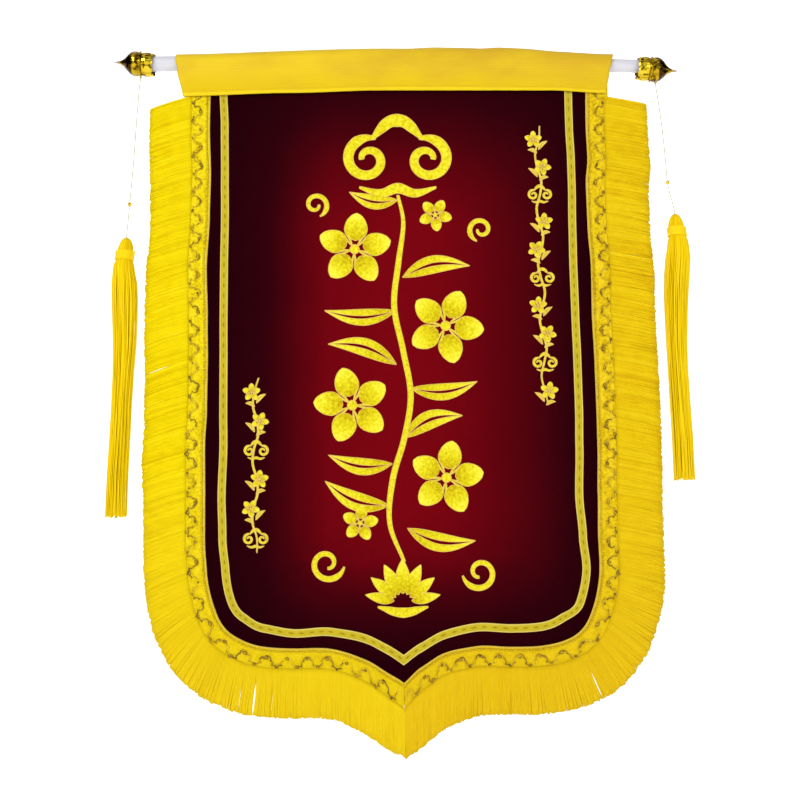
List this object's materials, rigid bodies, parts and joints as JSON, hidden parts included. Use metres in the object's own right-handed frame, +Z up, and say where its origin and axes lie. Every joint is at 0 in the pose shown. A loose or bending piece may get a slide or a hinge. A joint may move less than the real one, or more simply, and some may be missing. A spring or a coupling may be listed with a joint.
{
  "type": "honor banner with rod",
  "caption": "Shield-shaped velvet honor banner with fringe, braid and ribbon trim, hanging on a rod with bud finials and long tassels.",
  "frame": {"origin": "on the rod's axis, at the middle of its length", "axes": "+X to the viewer's right along the rod, -Y the front of the cloth, +Z up"},
  "size_m": [0.6889, 0.03, 0.8346],
  "materials": {
    "rod": "smooth white",
    "gold": "polished metallised gold",
    "satin": "satin weave, soft sheen",
    "velvet": "short velvet pile, darker towards the edges",
    "ribbon": "flat woven ribbon with raised paler edges",
    "fringe": "silky rayon yarn",
    "thread": "thin twisted thread"
  },
  "bodies": {
    "root": {"rod": "rod", "finial_left": "gold", "finial_right": "gold", "sleeve": "satin", "panel": "velvet", "ribbon": "ribbon", "fringe_left": "fringe", "fringe_right": "fringe", "thread_left": "thread", "thread_right": "thread", "bead_left": "gold", "bead_right": "gold", "tassel_left": "fringe", "tassel_right": "fringe"}
  },
  "joints": []
}
